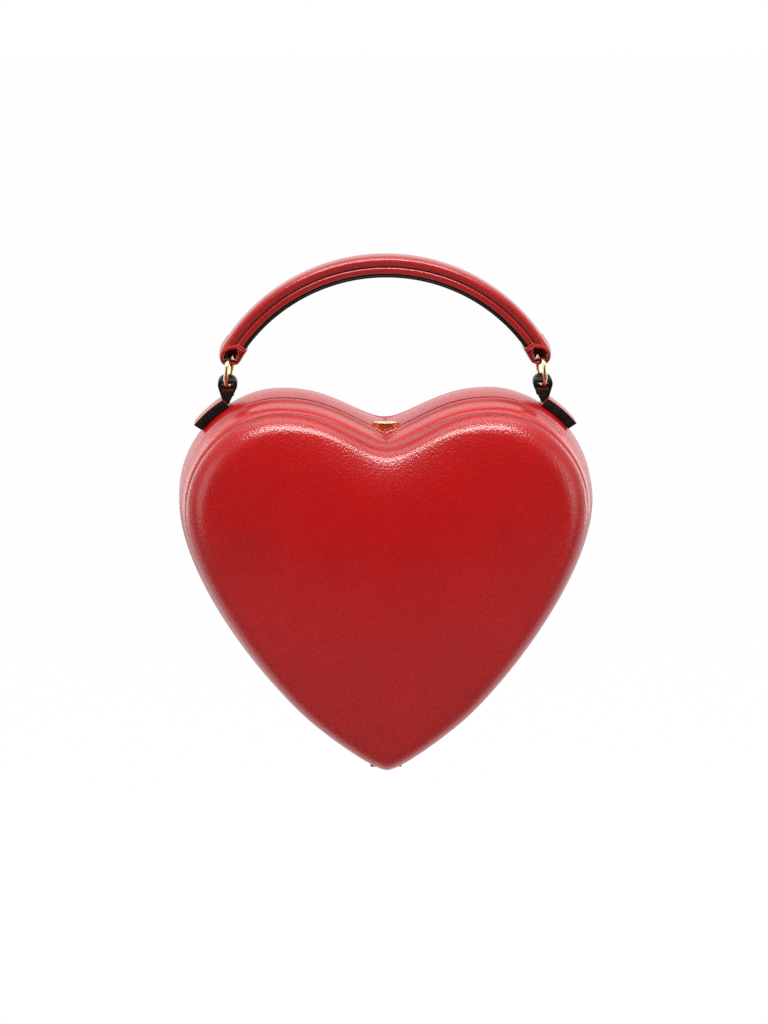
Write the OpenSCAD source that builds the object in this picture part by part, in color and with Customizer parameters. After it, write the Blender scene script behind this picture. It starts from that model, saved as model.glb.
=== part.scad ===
// A heart shaped purse: two padded leather halves hinged at the tip, a push button
// clasp in the cleft and an arched handle on two rings. X is across, -Y is the front
// and +Z is up. The origin is in the middle of the handle's underside, at the top of
// its arch, where the fingers hook.

/* [Heart outline] */
// Width of the heart where the two halves meet
heart_w = 181; // [150:1:220]
// Height of the heart from its tip to the tops of its lobes
heart_h = 167; // [140:1:200]
// Depth of the cleft below the tops of the lobes
cleft_deep = 15.5; // [12:0.5:20]
// Distance between the tops of the two lobes
lobe_gap = 92; // [84:1:100]
// Height of the widest point above the tip
widest_z = 121.5; // [110:1:130]
// Half width of the flank point that leads into the tip
flank_x = 34.7; // [30:0.5:40]
// Height of that flank point above the tip
flank_z = 22.6; // [19:0.5:26]

/* [Front half] */
// Depth of the side band from the parting line to the front seam
front_wall = 18.5; // [16:0.5:24]
// How far the front seam is drawn in from the parting line
front_draw = 2.4; // [1.5:0.1:3.5]
// Swell of the side band at its middle
front_swell = 1; // [0.4:0.1:1.6]
// Height of the padded front above its rounded shoulder
front_crown = 13; // [9:0.5:16]

/* [Back half] */
// Depth of the side band from the parting line to the back seam
back_wall = 24; // [20:0.5:30]
// How far the back seam stands out from the parting line
back_flare = 0.8; // [0.2:0.1:1.6]
// Swell of the side band at its middle
back_swell = 1.3; // [0.6:0.1:2]
// Height of the padded back above its rounded shoulder
back_crown = 11; // [8:0.5:14]

/* [Layers] */
// Width of the rounded shoulder inside each seam
shoulder_w = 9; // [7:0.5:12]
// Height of the rounded shoulder
shoulder_h = 8; // [6:0.5:10]
// Thickness of the leather
leather = 1.2; // [0.9:0.1:1.5]
// Thickness of the foam padding
padding = 2.6; // [2:0.1:3.2]
// Thickness of the moulded former
former = 2; // [1.6:0.1:2.6]
// Thickness of the suede lining
lining = 0.8; // [0.6:0.1:1.1]
// Glue line between two layers
glue = 0.2; // [0.15:0.05:0.3]
// Gap between the two halves when the purse is closed
mouth_gap = 0.3; // [0.2:0.05:0.5]

/* [Mouth frames] */
// Thickness of each metal mouth frame
frame_t = 1.5; // [1.2:0.1:2]
// Distance from the outline to the inner edge of a frame
frame_in = 9.6; // [9.2:0.1:11]
// Depth of the gusset fold at its top end
gusset_fold = 15; // [10:1:20]
// Thickness of a folded gusset
gusset_t = 1.6; // [1:0.1:2]

/* [Hinge] */
// Radius of the hinge pin
pin_r = 0.8; // [0.6:0.05:1]
// Radius of the hinge knuckles
knuckle_r = 2; // [1.8:0.05:2.2]
// Length of the whole hinge along its pin
hinge_len = 14; // [12:0.5:18]
// Length of the middle knuckle
middle_len = 4.6; // [4:0.1:5.5]
// Thickness of the hinge leaves
leaf_t = 1.2; // [1:0.1:1.5]
// Height of the hinge leaves above the pin
leaf_h = 13; // [11.5:0.5:15]
// Distance between the two rivets of a leaf
leaf_rivets = 8.4; // [7.5:0.1:9]
// Height of the leaf rivets above the pin
leaf_rivet_z = 7; // [6.5:0.1:8]

/* [Clasp] */
// Width of the push button
button_w = 11.6; // [10:0.1:13]
// Depth of the push button from front to back
button_d = 4.8; // [4.4:0.1:5.5]
// Height of the button above the leather of the cleft
button_stand = 4.3; // [3.5:0.1:5]
// Travel of the button when it is pressed
button_travel = 1.8; // [1.4:0.1:2]
// Radius of the button stem
stem_r = 1.6; // [1.4:0.05:1.8]
// Height of the clasp housing that guides the stem
housing_h = 4.6; // [4:0.1:5.2]
// Width of the clasp housing
housing_w = 14; // [13:0.5:16]
// Thickness of the spring leaf that catches the strike
catch_t = 0.5; // [0.4:0.05:0.6]
// Width of the spring leaf
catch_w = 5; // [4:0.1:6]
// Depth of the lip that the spring leaf hooks
lip_d = 1.05; // [0.8:0.05:1.4]
// Height of that lip
lip_h = 1.5; // [1.2:0.1:1.8]

/* [Rings] */
// Radius of a ring to the middle of its wire
ring_r = 7; // [6.5:0.1:8]
// Radius of the ring wire
wire_r = 1; // [0.8:0.05:1.1]
// Distance between the middles of the two rings
ring_span = 138.8; // [136:0.2:141]
// Height of the ring middles above the tops of the lobes
ring_rise = 10; // [9:0.5:12]
// Distance of the rings behind the parting line
ring_y = 15; // [13:0.5:16]
// Lean of each ring towards the middle at its top
ring_lean = 5; // [3:0.5:6]
// Turn of each ring outwards at its front
ring_turn = 9; // [6:0.5:10]

/* [Tabs] */
// Depth of a tab from front to back
tab_d = 11; // [9:0.5:12]
// Thickness of a tab, which is four folds of leather
tab_t = 4.3; // [3.6:0.1:4.8]
// Width of the loop that a tab makes round its ring
loop_w = 8.6; // [8.2:0.1:9.4]
// Depth of a loop from front to back
loop_d = 7.2; // [6:0.1:7.6]
// Height of the loop crown below the middle of the ring
loop_drop = 1.3; // [1.1:0.1:2]

/* [Handle] */
// Height of the handle's underside above the ring middles
handle_rise = 42.7; // [40:0.5:46]
// Radius of the arch on its underside
arch_r = 75.6; // [73:0.2:78]
// Depth of the handle from front to back
handle_d = 15; // [13:0.5:16]
// Thickness of the base strip with its painted edge
base_t = 1.45; // [1.2:0.05:1.8]
// Thickness of the wrapped band above the base strip
band_t = 3; // [2.6:0.1:3.4]
// Height of the padded roll above the band
roll_h = 5.2; // [4.5:0.1:6]
// Depth of the padded roll from front to back
roll_d = 13; // [11.5:0.5:13.5]
// Thickness of the stiffening strip inside the band
core_t = 1; // [0.8:0.1:1.3]
// Height of the end wraps above the ring middles
wrap_rise = 12.3; // [11.5:0.1:13.5]
// Gap between a ring's middle and the end wrap over it
wrap_drop = 2.7; // [2.4:0.1:3]

/* [Hidden] */
$fn = 64;

// Colours
red = "#B3181C";
deep_red = "#8E1216";
edge_black = "#1E1614";
brass = "#C9A24E";
steel = "#A9A9AC";
foam = "#E6DCC0";
board = "#6B5344";
suede = "#C9A58B";

// Clearances
over = 1;
run = 0.06;
snug = 0.05;
clear = 0.3;

// Shares that shape the outline, of the sizes they follow
middle_share = 0.585;
mean_share = 0.45;
cleft_reach_share = 0.41;
cleft_lift_share = 0.53;
lobe_in_share = 0.43;
lobe_out_share = 0.526;
side_up_share = 0.54;
side_down_share = 0.335;
flank_out_share = 0.36;
flank_lift_share = 0.18;
tip_in_share = 0.23;
tip_flat_share = 0.18;

// Places worked out from the sizes above
ring_z = -handle_rise;
lobe_z = ring_z - ring_rise;
tip_z = lobe_z - heart_h;
cleft_z = lobe_z - cleft_deep;
lobe_x = lobe_gap / 2;
side_x = heart_w / 2;
half_gap = mouth_gap / 2;
lay_pad = leather + glue;
lay_former = lay_pad + padding + glue;
lay_lining = lay_former + former + glue;
lay_all = lay_lining + lining;
frame_y = half_gap + frame_t;
shell_y = frame_y + clear;
ring_x = ring_span / 2;
pad_middle = [0, tip_z + heart_h * middle_share];
mean_far = heart_h * mean_share;

// Rivets, hinge leaves and clasp
rivet_r = pin_r;
rivet_head_r = rivet_r + leaf_t / 2;
rivet_head_h = leaf_t / 2;
leaf_y = frame_y + leaf_t;
leaf_room = leaf_y + rivet_head_h + clear;
strike_y = leaf_y + lip_d;
clasp_rivet_share = 0.33;
button_y = shell_y + glue + button_d / 2;
button_top = cleft_z + button_stand;
housing_top = cleft_z - lay_all - clear - snug;
housing_low = housing_top - housing_h;
cap_low = housing_top + button_travel + 3 * clear;
catch_gap_share = 0.25;
catch_gap = button_travel * catch_gap_share;
stem_low = housing_low - rivet_r;
catch_top = stem_low - catch_gap;
foot_share = 0.7;
foot_d = 4 * rivet_r * foot_share;
reach_share = 0.65;
housing_d = button_y - frame_y + stem_r + catch_w * reach_share;
button_end_share = 0.27;

// Shares of each curve, of the band's depth, of the shoulder and of the crown
steps = 7;
wall_shares = [0.34, 0.67];
shoulder_shares = [0.08, 0.36, 1];
crown_shares = [0.28, 0.56, 0.82];

function curve_at(p, t) =
    p[0] * pow(1 - t, 3) + p[1] * 3 * t * pow(1 - t, 2) + p[2] * 3 * t * t * (1 - t) + p[3] * pow(t, 3);
function unit(v) = v / norm(v);
function flip(list) = [for (k = [len(list) - 1 : -1 : 0]) list[k]];

// The right half of the outline, as four curves from the cleft down to the tip
lobe_run = side_x - lobe_x;
side_drop = lobe_z - tip_z - widest_z;
flank_run = side_x - flank_x;
tip_slope = (widest_z - flank_z) * flank_lift_share / (flank_run * flank_out_share) * flank_x / flank_z;
CLEFT_CURVE = [
    [0, cleft_z],
    [lobe_x * cleft_reach_share, cleft_z + cleft_deep * cleft_lift_share],
    [lobe_x * (1 - lobe_in_share), lobe_z],
    [lobe_x, lobe_z]];
LOBE_CURVE = [
    [lobe_x, lobe_z],
    [lobe_x + lobe_run * lobe_out_share, lobe_z],
    [side_x, tip_z + widest_z + side_drop * side_up_share],
    [side_x, tip_z + widest_z]];
FLANK_CURVE = [
    [side_x, tip_z + widest_z],
    [side_x, tip_z + widest_z - (widest_z - flank_z) * side_down_share],
    [flank_x + flank_run * flank_out_share, tip_z + flank_z + (widest_z - flank_z) * flank_lift_share],
    [flank_x, tip_z + flank_z]];
TIP_CURVE = [
    [flank_x, tip_z + flank_z],
    [flank_x * (1 - tip_in_share), tip_z + flank_z * (1 - tip_in_share * tip_slope)],
    [flank_x * tip_flat_share, tip_z],
    [0, tip_z]];
RIGHT = [
    for (c = [CLEFT_CURVE, LOBE_CURVE, FLANK_CURVE, TIP_CURVE], k = [0 : steps - 1])
    curve_at(c, k / steps)];
HEART = concat(
    RIGHT, [[0, tip_z]],
    [for (k = [len(RIGHT) - 1 : -1 : 1]) [-RIGHT[k].x, RIGHT[k].y]]);
count = len(HEART);

// A point of the outline moved towards the middle of the heart, or outwards if negative
function moved(p, inset) = p + unit(pad_middle - p) * inset;
function inset_heart(inset) = [for (p = HEART) moved(p, inset)];

// A half is [wall depth, draw at the seam, swell of the band, crown height]
FRONT = [front_wall, front_draw, front_swell, front_crown];
BACK = [back_wall, -back_flare, back_swell, back_crown];

// How far the side band stands out from the outline at a depth
function band_out(half, y) = 4 * half[2] * (y / half[0]) * (1 - y / half[0]) - half[1] * y / half[0];

// One ring of points of the side band, and one of the padded dome, for a layer
function band_ring(half, lay, y) = [
    for (p = HEART) let (q = moved(p, lay - band_out(half, y))) [q.x, -y, q.y]];
function rounder(far, w) = w - (far - w) * w / far * (mean_far / far - 1);
function dome_point(half, lay, p, w, far) = let (
    k = min(w / shoulder_w, 1),
    q = moved(p, half[1] + lay + rounder(far, w) * (1 - lay / far)),
    rise = shoulder_h * sqrt(1 - pow(1 - k, 2)) + half[3] * (1 - pow(1 - w / far, 2)))
    [q.x, -(half[0] + rise - lay), q.y];
function far_of(half, p) = norm(pad_middle - p) - half[1];
function shoulder_ring(half, lay, share) = [
    for (p = HEART) dome_point(half, lay, p, shoulder_w * share, far_of(half, p))];
function crown_ring(half, lay, share) = [
    for (p = HEART) let (far = far_of(half, p))
    dome_point(half, lay, p, shoulder_w + (far - shoulder_w) * share, far)];
function apex(half, lay) = [pad_middle.x, -(half[0] + shoulder_h + half[3] - lay), pad_middle.y];

// Rings from the top of the dome down to the seam, and along the band to the mouth
function dome_rings(half, lay) = concat(
    [for (s = flip(crown_shares)) crown_ring(half, lay, s)],
    [for (s = flip(shoulder_shares)) shoulder_ring(half, lay, s)]);
function band_rings(half, lay, mouth, seam) = concat(
    [band_ring(half, lay, seam)],
    [for (s = flip(wall_shares)) band_ring(half, lay, mouth + (seam - mouth) * s)],
    [band_ring(half, lay, mouth)]);

// Triangles between neighbouring rings, which start at a given point of the list
function strip(a, b, n) = [
    for (i = [0 : n - 1]) let (j = (i + 1) % n)
    each [[a + i, b + i, b + j], [a + i, b + j, a + j]]];
function strips(first, m, n) = [for (k = [0 : m - 2]) each strip(first + k * n, first + (k + 1) * n, n)];

// A closed skin from one apex over all the rings to the other apex
module closed_skin(top, rings, bottom) {
    n = len(rings[0]);
    m = len(rings);
    last = m * n + 1;
    polyhedron(
        points = concat([top], [for (r = rings) each r], [bottom]),
        faces = concat(
            [for (i = [0 : n - 1]) [0, 1 + i, 1 + (i + 1) % n]],
            strips(1, m, n),
            [for (i = [0 : n - 1]) [last - n + i, last, last - n + (i + 1) % n]]),
        convexity = 8);
}

// A closed hoop whose last ring joins its first
module closed_hoop(rings) {
    n = len(rings[0]);
    m = len(rings);
    polyhedron(
        points = [for (r = rings) each r],
        faces = concat(strips(0, m, n), strip((m - 1) * n, 0, n)),
        convexity = 8);
}

// The layers of one half, built as the front and mirrored for the back
module shell_layer(half, lay, thick, mouth) {
    outer = concat(dome_rings(half, lay), band_rings(half, lay, mouth, half[0] - lay));
    deep = lay + thick;
    inner = concat(dome_rings(half, deep), band_rings(half, deep, mouth, half[0] - deep));
    closed_skin(apex(half, lay), concat(outer, flip(inner)), apex(half, deep));
}
module panel_layer(half) {
    outer = concat(dome_rings(half, 0), [band_ring(half, 0, half[0])]);
    inner = concat(dome_rings(half, leather), [band_ring(half, leather, half[0])]);
    closed_skin(apex(half, 0), concat(outer, flip(inner)), apex(half, leather));
}
module rim_layer(half) {
    seam = half[0] - clear;
    closed_hoop(concat(
        band_rings(half, 0, half_gap, seam),
        flip(band_rings(half, leather, half_gap, seam))));
}

// Room for the hinge at the tip, and for the button in the cleft
module hinge_room(deep) {
    room_w = hinge_len + 2 * clear;
    translate([-room_w / 2, -deep, tip_z - knuckle_r - over])
        cube([room_w, deep + over, knuckle_r + leaf_h + clear + over]);
}
module knuckle_room() {
    room_w = hinge_len + 2 * clear;
    translate([-room_w / 2, 0, tip_z])
        rotate([0, 90, 0]) cylinder(r = knuckle_r + clear, h = room_w);
}
module button_room() {
    translate([0, 0, housing_top + snug])
        linear_extrude(heart_h) button_plan(clear);
}

// Front and back halves: leather panel, leather side band, foam, former and lining
module front_panel() color(red) panel_layer(FRONT);
module back_panel() color(red) mirror([0, 1, 0]) panel_layer(BACK);
module front_rim() color(red) difference() {
    rim_layer(FRONT);
    hinge_room(leaf_room);
}
module back_rim() color(red) difference() {
    mirror([0, 1, 0]) rim_layer(BACK);
    mirror([0, 1, 0]) hinge_room(leaf_room);
    button_room();
}
module front_layer(lay, thick) difference() {
    shell_layer(FRONT, lay, thick, shell_y);
    hinge_room(leaf_room);
}
module back_layer(lay, thick) difference() {
    mirror([0, 1, 0]) shell_layer(BACK, lay, thick, shell_y);
    mirror([0, 1, 0]) hinge_room(leaf_room);
    button_room();
}
module front_padding() color(foam) front_layer(lay_pad, padding);
module front_former() color(board) front_layer(lay_former, former);
module front_lining() color(suede) front_layer(lay_lining, lining);
module back_padding() color(foam) back_layer(lay_pad, padding);
module back_former() color(board) back_layer(lay_former, former);
module back_lining() color(suede) back_layer(lay_lining, lining);

// A slip pocket on the lining, over the lower part of the back
pocket_lay = lay_all + glue;
pocket_shares = [0.12, 0.4, 0.7, 0.97];
pocket_first = 2 * steps + 3;
pocket_last = count - pocket_first;
function pocket_grid(lay) = [
    for (s = pocket_shares) [
        for (i = [pocket_first : pocket_last]) let (far = far_of(BACK, HEART[i]))
        dome_point(BACK, lay, HEART[i], shoulder_w + (far - shoulder_w) * s, far)]];
module slip_pocket() color(suede) mirror([0, 1, 0]) {
    n = pocket_last - pocket_first + 1;
    m = len(pocket_shares);
    face = m * n;
    rim = concat(
        [for (i = [0 : n - 1]) i],
        [for (k = [1 : m - 1]) k * n + n - 1],
        [for (i = [n - 2 : -1 : 0]) (m - 1) * n + i],
        [for (k = [m - 2 : -1 : 1]) k * n]);
    polyhedron(
        points = concat(
            [for (row = pocket_grid(pocket_lay)) each row],
            [for (row = pocket_grid(pocket_lay + lining)) each row]),
        faces = concat(
            [for (k = [0 : m - 2], i = [0 : n - 2]) let (a = k * n + i, b = a + n)
                each [[b, a, a + 1], [b, a + 1, b + 1]]],
            [for (k = [0 : m - 2], i = [0 : n - 2]) let (a = face + k * n + i, b = a + n)
                each [[a, b, a + 1], [a + 1, b, b + 1]]],
            [for (k = [0 : len(rim) - 1]) let (a = rim[k], b = rim[(k + 1) % len(rim)])
                each [[b, a, face + a], [b, face + a, face + b]]]),
        convexity = 4);
}

// Metal frames that stiffen the two mouths and carry the hinge and the clasp
frame_lay = leather + 2 * glue;
land_w = housing_w + 4 * clear;
module upright(y) translate([0, y, 0]) rotate([90, 0, 0]) linear_extrude(frame_t) children();
module rivet_holes(places, deep) {
    for (p = places)
        translate([p.x, deep + over, p.y]) rotate([90, 0, 0])
            cylinder(r = rivet_r + snug, h = 2 * deep + 2 * over);
}
leaf_places = [for (s = [-1, 1]) [s * leaf_rivets / 2, tip_z + leaf_rivet_z]];
clasp_places = [for (s = [-1, 1]) [s * housing_w * clasp_rivet_share, housing_top - housing_h / 2]];
module frame_plate(rear) difference() {
    upright(rear) difference() {
        polygon(inset_heart(frame_lay));
        difference() {
            polygon(inset_heart(frame_in));
            translate([-land_w / 2, housing_low]) square([land_w, cleft_z - housing_low]);
        }
    }
    knuckle_room();
    rivet_holes(leaf_places, leaf_y);
}
module back_frame() color(brass) difference() {
    frame_plate(frame_y);
    rivet_holes(clasp_places, leaf_y);
}
module front_frame() color(brass) difference() {
    frame_plate(-half_gap);
    rivet_holes(clasp_places, leaf_y);
}

// Gussets, folded flat between the halves along the lower flanks
gusset_lay = frame_in + clear;
gusset_first = 2 * steps + 1;
gusset_last = 4 * steps - 3;
module gusset() {
    n = gusset_last - gusset_first;
    outer = [for (i = [0 : n]) moved(HEART[gusset_first + i], gusset_lay)];
    fold = [for (i = [0 : n]) moved(HEART[gusset_first + i], gusset_lay + gusset_fold * (1 - i / (n + 1)))];
    translate([0, gusset_t / 2, 0]) rotate([90, 0, 0])
        linear_extrude(gusset_t) polygon(concat(outer, flip(fold)));
}
module gusset_right() color(deep_red) gusset();
module gusset_left() color(deep_red) mirror([1, 0, 0]) gusset();

// Hinge at the tip: two leaves, a pin and rivets
module along_x(x, r, h) translate([x, 0, tip_z]) rotate([0, 90, 0]) cylinder(r = r, h = h);
module leaf_plate(w, low) translate([-w / 2, frame_y, low]) cube([w, leaf_t, tip_z + leaf_h - low]);
leaf_step = knuckle_r + clear;
module hinge_back_leaf() color(brass) difference() {
    union() {
        leaf_plate(hinge_len, tip_z + leaf_step);
        leaf_plate(middle_len, tip_z - knuckle_r / 2);
        along_x(-middle_len / 2, knuckle_r, middle_len);
    }
    along_x(-hinge_len, pin_r, 2 * hinge_len);
    rivet_holes(leaf_places, leaf_y);
}
module hinge_front_leaf() color(brass) difference() {
    union() {
        mirror([0, 1, 0]) leaf_plate(hinge_len, tip_z - knuckle_r / 2);
        along_x(-hinge_len / 2, knuckle_r, hinge_len);
    }
    along_x(-hinge_len, pin_r + run, 2 * hinge_len);
    gap_w = middle_len + 2 * clear;
    translate([-gap_w / 2, -leaf_y - over, tip_z - knuckle_r - over])
        cube([gap_w, leaf_y + knuckle_r + 2 * over, leaf_step + knuckle_r + over]);
    rivet_holes(leaf_places, leaf_y);
}
module hinge_pin() color(steel) along_x(-hinge_len / 2, pin_r, hinge_len);
module rivet(p, far) {
    translate([p.x, far, p.y]) rotate([90, 0, 0]) cylinder(r = rivet_r, h = far - half_gap);
    translate([p.x, far + rivet_head_h, p.y]) rotate([90, 0, 0])
        cylinder(r = rivet_head_r, h = rivet_head_h);
}
module hinge_back_rivets() color(brass) for (p = leaf_places) rivet(p, leaf_y);
module hinge_front_rivets() color(brass) mirror([0, 1, 0]) for (p = leaf_places) rivet(p, leaf_y);

// Clasp: a push button on a stem, its housing, its spring, the spring leaf and the strike
module button_plan(grow) {
    w = button_w / 2 + grow;
    d = button_d / 2 + grow;
    end = button_w * button_end_share;
    translate([0, button_y]) polygon([
        [-w, 0], [-end, -d], [end, -d], [w, 0], [end, d], [-end, d]]);
}
module clasp_button() color(brass) {
    translate([0, 0, cap_low]) linear_extrude(button_top - cap_low) button_plan(0);
    translate([0, button_y, stem_low]) cylinder(r = stem_r, h = cap_low - stem_low + snug);
}
module clasp_spring() color(steel) translate([0, button_y, housing_top + snug]) difference() {
    cylinder(r = stem_r + 3 * snug + catch_t, h = cap_low - housing_top - 2 * snug);
    translate([0, 0, -over]) cylinder(r = stem_r + 3 * snug, h = cap_low - housing_top + 2 * over);
}
foot_y = frame_y + housing_d - foot_d / 2;
module clasp_housing() color(steel) difference() {
    union() {
        translate([-housing_w / 2, frame_y, housing_low]) cube([housing_w, housing_d, housing_h]);
        translate([-catch_w / 2, foot_y - foot_d / 2, catch_top])
            cube([catch_w, foot_d, housing_low - catch_top + snug]);
        translate([0, foot_y, catch_top - catch_t - snug])
            cylinder(r = rivet_r, h = catch_t + 2 * snug);
    }
    translate([0, button_y, housing_low - over]) cylinder(r = stem_r + run, h = housing_h + 2 * over);
    rivet_holes(clasp_places, leaf_y);
}
module clasp_rivets() color(brass) for (p = clasp_places)
    translate([p.x, leaf_y, p.y]) rotate([90, 0, 0]) cylinder(r = rivet_r, h = leaf_y - half_gap);
module clasp_catch() color(steel) difference() {
    nose_y = strike_y + clear;
    union() {
        translate([-catch_w / 2, -nose_y - catch_t, catch_top - catch_t])
            cube([catch_w, nose_y + catch_t + foot_y + foot_d / 2, catch_t]);
        translate([-catch_w / 2, -nose_y - catch_t, catch_top - catch_t])
            cube([catch_w, catch_t, catch_t + clear + lip_h]);
    }
    translate([0, foot_y, catch_top - catch_t - over]) cylinder(r = rivet_r + snug, h = catch_t + 2 * over);
}
module strike_plate() color(brass) difference() {
    low = catch_top + clear;
    mirror([0, 1, 0]) {
        translate([-housing_w / 2, frame_y, low])
            cube([housing_w, leaf_t, housing_top - low]);
        translate([-housing_w / 2, leaf_y, low]) cube([housing_w, lip_d, lip_h]);
    }
    rivet_holes(clasp_places, leaf_y);
}
module strike_rivets() color(brass) mirror([0, 1, 0]) for (p = clasp_places) rivet(p, leaf_y);

// Rings, with their wire through the tab loops below and the end wraps above
module ring() {
    rotate([0, -ring_lean, 0]) rotate([0, 0, ring_turn]) rotate([0, 90, 0])
        rotate_extrude() translate([ring_r, 0]) circle(r = wire_r);
}
module ring_right() color(brass) translate([ring_x, ring_y, ring_z]) ring();
module ring_left() color(brass) mirror([1, 0, 0]) ring_right();

// The opening for the wire in a loop or wrap: clear of a ring that leans, turns and swings
ring_swing = 40;
hold_r = ring_r - wire_r - clear;
lean_x = ring_r * sin(ring_lean);
wire_reach = ring_swing + asin(loop_d / 2 / ring_r);
wire_w = 2 * (wire_r + clear + ring_r * sin(wire_reach) * sin(ring_turn) + lean_x * (1 - cos(wire_reach)));
wire_far = ring_r + wire_r + clear;
module wire_room() difference() {
    translate([-wire_w / 2, -handle_d, 0]) cube([wire_w, 2 * handle_d, wire_far]);
    translate([-wire_w, 0, 0]) rotate([0, 90, 0]) cylinder(r = hold_r, h = 2 * wire_w);
}

// A stem that ends in a rounded crown next to the middle of the ring
module crowned(drop, far, w) {
    crown_r = loop_d / 2 + snug;
    translate([-w, 0, drop + crown_r]) rotate([0, 90, 0]) cylinder(r = crown_r, h = 2 * w);
    translate([-w, -loop_d / 2, drop + crown_r]) cube([2 * w, loop_d, far - drop - crown_r]);
}

// Tabs: a strip glued along the back half's shoulder, turned up into a loop
tab_seat = band_out(BACK, ring_y) + clear / 2;
tab_shares = [0.33, 0.38, 0.43, 0.475, 0.52, 0.56];
pinch_share = 0.62;
module tab() {
    strip_in = [for (t = tab_shares) moved(curve_at(LOBE_CURVE, t), -tab_seat)];
    strip_out = [for (t = tab_shares) moved(curve_at(LOBE_CURVE, t), -tab_seat - tab_t)];
    root = (strip_in[0] + strip_out[0]) / 2;
    translate([0, ring_y + tab_d / 2, 0]) rotate([90, 0, 0]) linear_extrude(tab_d)
        polygon(concat(strip_in, flip(strip_out)));
    hang_x = ring_x + lean_x;
    loop_low = ring_z - root.y;
    foot_x = root.x - hang_x;
    translate([hang_x, ring_y, ring_z]) difference() {
        intersection() {
            translate([0, loop_d, 0]) rotate([90, 0, 0]) linear_extrude(2 * loop_d) hull() {
                translate([0, -loop_drop - loop_w / 2]) circle(d = loop_w);
                translate([foot_x, -loop_low]) circle(d = tab_t * pinch_share);
            }
            mirror([0, 0, 1]) crowned(loop_drop, loop_low + tab_t, loop_w);
        }
        mirror([0, 0, 1]) wire_room();
    }
}
module tab_right() color(edge_black) tab();
module tab_left() color(edge_black) mirror([1, 0, 0]) tab();

// Handle: an arch of strips round one centre
arch_z = -arch_r;
base_r = arch_r + base_t;
band_r = base_r + snug + band_t;
roll_r = band_r + snug;
arch_top = roll_r + roll_h;
arch_mid = (arch_r + arch_top) / 2;
arch_half = acos((ring_z + wrap_rise - arch_z) / arch_mid);
module arch(half_angle) translate([0, ring_y, arch_z]) rotate([90, 0, 0])
    rotate([0, 0, 90 - half_angle]) rotate_extrude(angle = 2 * half_angle, $fn = 180) children();
module strip_section(low, high, wide) translate([low, -wide / 2]) square([high - low, wide]);
function dome_section(low, rise, wide) = [
    for (a = [0 : 15 : 180]) [low + rise * sin(a), wide / 2 * cos(a)]];
core_low = base_r + snug + (band_t - core_t) / 2;
core_d = handle_d - 4 * leather;
module handle_base() color(edge_black) arch(arch_half) strip_section(arch_r, base_r, handle_d + 2 * glue);
module handle_band() color(red) arch(arch_half) difference() {
    strip_section(base_r + snug, band_r, handle_d);
    strip_section(core_low - snug, core_low + core_t + snug, core_d + 2 * snug);
}
module handle_core() color(steel) arch(arch_half) strip_section(core_low, core_low + core_t, core_d);
module handle_cover() color(red) arch(arch_half) difference() {
    polygon(dome_section(roll_r, roll_h, roll_d));
    polygon(dome_section(roll_r - snug, roll_h - leather + snug, roll_d - 2 * leather));
}
module handle_padding() color(foam) arch(arch_half)
    polygon(dome_section(roll_r, roll_h - leather - snug, roll_d - 2 * leather - 2 * glue));

// End wraps: turned leather from the end of the arch down over the ring
wrap_wall = 1.6;
wrap_steps = 8;
end_dir = [sin(arch_half), cos(arch_half)];
end_run = [cos(arch_half), -sin(arch_half)];
function arch_point(r) = [0, arch_z] + end_dir * r + end_run * snug;
function wrap_side(from, to, pull, drop) = [
    for (k = [0 : wrap_steps])
    curve_at([from, from + end_run * pull, to + [0, drop], to], k / wrap_steps)];
module end_wrap() {
    hang_x = ring_x - lean_x;
    wide = wire_w / 2 + wrap_wall;
    low = ring_z + wrap_drop;
    side_z = ring_z + hold_r;
    outer = wrap_side(arch_point(arch_top), [hang_x + wide, side_z], wrap_drop, wrap_rise / 2);
    inner = wrap_side(arch_point(arch_r), [hang_x - wide, side_z], wrap_drop, wrap_drop);
    shape = concat(
        outer, [[hang_x + wire_w / 2, low], [hang_x - wire_w / 2, low]], flip(inner));
    taper = [
        [-loop_d / 2, low], [loop_d / 2, low],
        [loop_d / 2, side_z - leather], [handle_d / 2, ring_z + wire_far + leather],
        [handle_d / 2, ring_z + handle_rise], [-handle_d / 2, ring_z + handle_rise],
        [-handle_d / 2, ring_z + wire_far + leather], [-loop_d / 2, side_z - leather]];
    difference() {
        intersection() {
            translate([0, ring_y + handle_d, 0]) rotate([90, 0, 0])
                linear_extrude(2 * handle_d) polygon(shape);
            translate([0, ring_y, 0]) rotate([90, 0, 90])
                linear_extrude(ring_x + handle_d) polygon(taper);
            translate([hang_x, ring_y, ring_z]) union() {
                crowned(wrap_drop, wire_far, ring_x);
                translate([-ring_x, -handle_d, hold_r - leather])
                    cube([2 * ring_x, 2 * handle_d, handle_rise]);
            }
        }
        translate([hang_x, ring_y, ring_z]) wire_room();
    }
}
module handle_end_right() color(red) end_wrap();
module handle_end_left() color(red) mirror([1, 0, 0]) end_wrap();

// All sizes above are from the parting line, which lies in front of the handle
module placed() translate([0, -ring_y, 0]) children();

placed() handle_core();
placed() handle_padding();
placed() handle_cover();
placed() handle_band();
placed() handle_base();
placed() handle_end_left();
placed() handle_end_right();
placed() ring_left();
placed() ring_right();
placed() back_panel();
placed() back_rim();
placed() back_padding();
placed() back_former();
placed() back_lining();
placed() back_frame();
placed() slip_pocket();
placed() tab_left();
placed() tab_right();
placed() gusset_left();
placed() gusset_right();
placed() hinge_back_leaf();
placed() hinge_pin();
placed() hinge_back_rivets();
placed() clasp_housing();
placed() clasp_rivets();
placed() clasp_catch();
placed() clasp_spring();
placed() clasp_button();
placed() front_panel();
placed() front_rim();
placed() front_padding();
placed() front_former();
placed() front_lining();
placed() front_frame();
placed() hinge_front_leaf();
placed() hinge_front_rivets();
placed() strike_plate();
placed() strike_rivets();
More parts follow.
